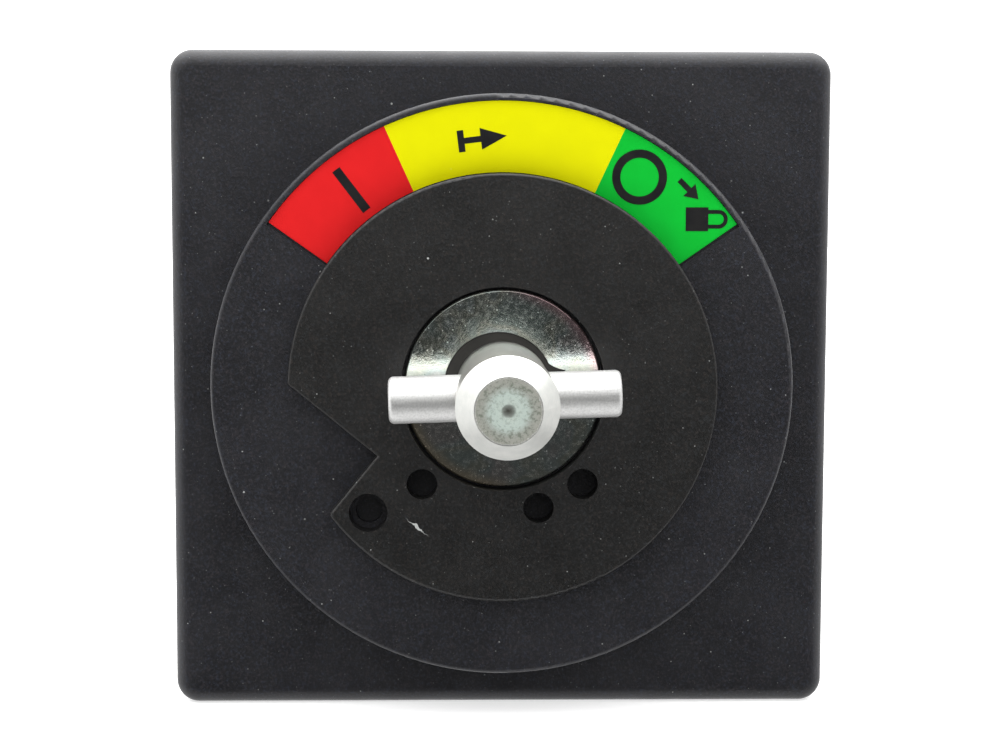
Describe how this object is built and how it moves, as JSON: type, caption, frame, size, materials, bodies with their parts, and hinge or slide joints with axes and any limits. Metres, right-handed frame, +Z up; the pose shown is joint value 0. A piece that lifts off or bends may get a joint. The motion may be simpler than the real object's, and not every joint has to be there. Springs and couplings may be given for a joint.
{
  "type": "rotary battery isolator switch",
  "caption": "Square black rotary battery isolator with a raised position dial, a steel T-pin drive shaft, knife contacts and rear terminal studs.",
  "frame": {"origin": "on the shaft axis, in the plane of the rear mounting face, at the centre of the four rear inserts", "axes": "-Y out of the front along the shaft, +Z up the front towards the label, +X to the right seen from the front"},
  "size_m": [0.12, 0.1113, 0.12],
  "materials": {
    "black_moulding": "fine matt moulded",
    "base_moulding": "matt moulded",
    "print_red": "satin printed film",
    "print_yellow": "satin printed film",
    "print_green": "satin printed film",
    "print_black": "printed ink",
    "turned_steel": "fine turned, zinc plated",
    "pin_steel": "ground",
    "zinc_washer": "bright zinc plated",
    "zinc_steel": "zinc plated",
    "spring_steel": "oiled",
    "collar_plastic": "satin moulded",
    "natural_acetal": "satin moulded",
    "brown_thermoset": "moulded thermoset",
    "copper": "tinned and worn copper",
    "brass": "turned",
    "bronze": "sintered bronze",
    "black_rubber": "moulded rubber",
    "wheel_steel": "sintered steel"
  },
  "bodies": {
    "housing": {"front_cover": "black_moulding", "dial_hub": "black_moulding", "hub_screws": "zinc_steel", "label_off": "print_green", "label_trip": "print_yellow", "label_on": "print_red", "label_symbols": "print_black", "shaft_bush": "natural_acetal", "shaft_seal": "black_rubber", "thrust_washer": "natural_acetal", "rear_bush": "bronze", "mechanism_plate": "zinc_steel", "plate_standoffs": "zinc_steel", "plate_screws": "zinc_steel", "detent_housings": "natural_acetal", "detent_balls": "pin_steel", "detent_springs": "spring_steel", "stop_pin": "pin_steel", "fixed_contact_left": "copper", "fixed_contact_right": "copper", "terminal_studs": "zinc_steel", "terminal_washers": "zinc_steel", "spring_washers": "spring_steel", "terminal_nuts": "zinc_steel", "base_housing": "base_moulding", "terminal_barrier": "brown_thermoset", "barrier_screws": "zinc_steel", "cover_seal": "black_rubber", "cover_screws": "zinc_steel", "cover_inserts": "brass", "mount_inserts": "brass"},
    "shaft": {"drive_shaft": "turned_steel", "cross_pin": "pin_steel", "front_washer": "zinc_washer", "shaft_collar": "collar_plastic", "detent_wheel": "wheel_steel", "contact_rotor": "brown_thermoset", "rear_blade": "copper", "front_blade": "copper", "blade_spacer": "brass", "disc_springs": "spring_steel", "blade_retainer": "zinc_steel", "retaining_ring": "spring_steel"}
  },
  "joints": [
    {"name": "shaft_turn", "type": "hinge", "parent": "housing", "child": "shaft", "pos_m": [0, 0, 0], "axis": [0, -1, 0], "range_deg": [-50, 40]}
  ]
}
